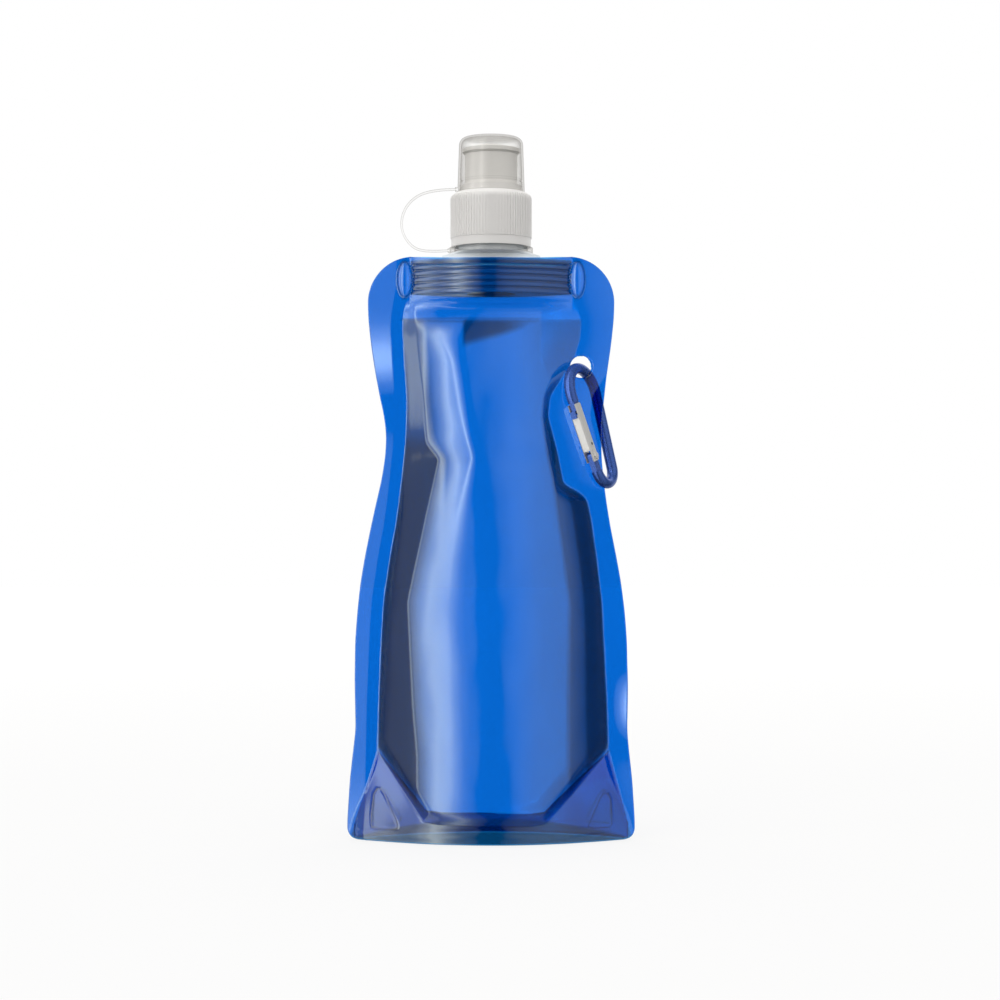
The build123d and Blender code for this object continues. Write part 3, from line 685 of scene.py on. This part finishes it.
def tether_loop(corners=20):
    """The strap between the ring on the neck and the cover: a thin moulded band, wider than thick."""
    points = strap_middle()
    ahead = np.gradient(points, axis=0)
    ahead = ahead / np.linalg.norm(ahead, axis=1)[:, None]
    wide = np.array([0.0, 1.0, 0.0])
    thin = np.cross(ahead, wide)
    turn = np.linspace(0, 2 * math.pi, corners, endpoint=False)
    across = np.sign(np.cos(turn)) * np.abs(np.cos(turn)) ** 0.5 * STRAP_WIDTH / 2
    through = np.sign(np.sin(turn)) * np.abs(np.sin(turn)) ** 0.8 * STRAP_THICKNESS / 2
    rings = points[:, None] + across[None, :, None] * wide + through[None, :, None] * thin[:, None]
    piece = tube_mesh("tether_loop", rings)
    paint(piece, clear_look)
    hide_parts("tether_strap")
    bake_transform(piece)


tether_loop()
film("front_film", -1, FRONT, FRONT_MIDDLE, seed=3.0, columns=280, rows=340)
film("back_film", 1, BACK, BACK_MIDDLE, seed=11.0, columns=150, rows=220)
gusset()

for node, look in {
        "spout_fitment": spout_look, "cap_liner": liner_look, "screw_cap": cap_look,
        "nozzle": nozzle_look, "tether_ring": clear_look, "dust_cover": clear_look,
        "carabiner_body": blue_metal, "gate": steel_look, "gate_rivet": steel_look,
        "spring_pin": dark_steel, "gate_spring": dark_steel}.items():
    paint(nodes[node], look)


# ---------------------------------------------------------------- studio
# How bright the studio is at each bearing in degrees, with the camera at 0 and +X at 90: a broad
# light on the left, a dark gap by the camera, a weaker light on the right, dark sides, a pale back
ROUND = [(-180, 0.75), (-132, 0.75), (-118, 0.1), (-104, 0.35), (-90, 0.38), (-83, 0.42),
         (-76, 1.9), (-65, 1.8), (-58, 1.0), (-52, 0.9), (-46, 1.3), (-40, 2.0), (-36, 3.0),
         (-32, 2.6), (-26, 1.3), (-19, 0.5), (-11, 0.16), (-10, 0.0), (5, 0.0), (6, 0.13),
         (16, 0.34), (28, 0.46), (48, 0.5), (84, 0.42), (100, 0.03), (118, 0.04), (132, 0.75),
         (180, 0.75)]
# and at each height above the horizon, in degrees
OVERHEAD = [(-90, 0.35), (-35, 0.55), (-10, 1.0), (35, 1.0), (60, 0.7), (90, 0.6)]


def aim(piece, target):
    """Turns a light or camera to look at a point."""
    piece.rotation_euler = (Vector(target) - piece.location).to_track_quat("-Z", "Y").to_euler()


def curve_node(tree, angle, stops):
    """A value that follows (degrees, result) stops, for an angle in radians."""
    low, high = stops[0][0], stops[-1][0]
    settings = {"Value": angle, "From Min": math.radians(low), "From Max": math.radians(high)}
    share = add_node(tree, "MapRange", settings).outputs[0]
    made = add_node(tree, "ValToRGB", {"Fac": share})
    ramp = made.color_ramp
    top = max(result for place, result in stops)
    for number, (place, result) in enumerate(stops):
        at = (place - low) / (high - low)
        stop = ramp.elements[number] if number < 2 else ramp.elements.new(at)
        stop.position = at
        stop.color = (result / top, result / top, result / top, 1)
    return math_node(tree, "MULTIPLY", made.outputs["Color"], top)


def backdrop():
    """A white backdrop for the eye, and broad soft lights for the surfaces."""
    world = bpy.data.worlds.new("studio")
    bpy.context.scene.world = world
    world.use_nodes = True
    tree = world.node_tree
    tree.nodes.clear()
    way = add_node(tree, "SeparateXYZ", {0: add_node(tree, "TexCoord").outputs["Generated"]})
    bearing = math_node(tree, "ARCTAN2", way.outputs[0], math_node(tree, "MULTIPLY", way.outputs[1], -1.0))
    height = math_node(tree, "ARCSINE", way.outputs[2])
    light = math_node(tree, "MULTIPLY", curve_node(tree, bearing, ROUND), curve_node(tree, height, OVERHEAD))
    fill_light = math_node(tree, "ADD", math_node(tree, "MULTIPLY", light, 0.4), 1.0)
    white = add_node(tree, "Background", {"Color": (1, 1, 1, 1), "Strength": 1.0})
    lights = add_node(tree, "Background", {"Color": (1, 0.985, 0.95, 1), "Strength": light})
    fill = add_node(tree, "Background", {"Color": (1, 0.99, 0.975, 1), "Strength": fill_light})
    ray = add_node(tree, "LightPath").outputs
    lit = add_node(tree, "MixShader", {0: ray["Is Diffuse Ray"], 1: lights.outputs[0], 2: fill.outputs[0]})
    both = add_node(tree, "MixShader", {0: ray["Is Camera Ray"], 1: lit.outputs[0], 2: white.outputs[0]})
    add_node(tree, "OutputWorld", {"Surface": both.outputs[0]})


def pale_floor():
    """A pale floor under the bottle that fades out to the white backdrop and isn't mirrored."""
    material, tree = new_material("pale_floor")
    matt = add_node(tree, "BsdfDiffuse", {"Color": (0.12, 0.12, 0.12, 1)})
    place = add_node(tree, "TexCoord").outputs["Object"]
    reach = add_node(tree, "VectorMath", {0: place}, operation="LENGTH").outputs["Value"]
    settings = {"Value": reach, "From Min": 0.3, "From Max": 2.0, "To Min": 0.84, "To Max": 0.9}
    far = add_node(tree, "MapRange", settings).outputs[0]
    seen = math_node(tree, "MULTIPLY", far, add_node(tree, "LightPath").outputs["Is Camera Ray"])
    glow = add_node(tree, "Emission", {"Color": (1, 1, 1, 1), "Strength": seen})
    finish_material(tree, add_node(tree, "AddShader", {0: matt.outputs[0], 1: glow.outputs[0]}))
    bpy.ops.mesh.primitive_plane_add(size=8.0, location=(0, 0, -0.0003))
    floor = bpy.context.object
    floor.name = "floor"
    floor.visible_glossy = False
    paint(floor, material)


def camera():
    """A long lens at about half the bottle's height."""
    away, eye, aside, look_up = 0.918, 0.117, 0.0034, 0.1284
    frame_width = 0.380  # what the picture spans at the bottle
    lens = bpy.data.cameras.new("camera")
    lens.sensor_width = 36
    lens.lens = lens.sensor_width * away / frame_width
    piece = bpy.data.objects.new("camera", lens)
    bpy.context.scene.collection.objects.link(piece)
    piece.location = (aside, -away, eye)
    aim(piece, (aside, 0, look_up))
    bpy.context.scene.camera = piece


backdrop()
pale_floor()
camera()
scene = bpy.context.scene
scene.view_settings.view_transform = "Standard"
scene.cycles.transparent_max_bounces = 48
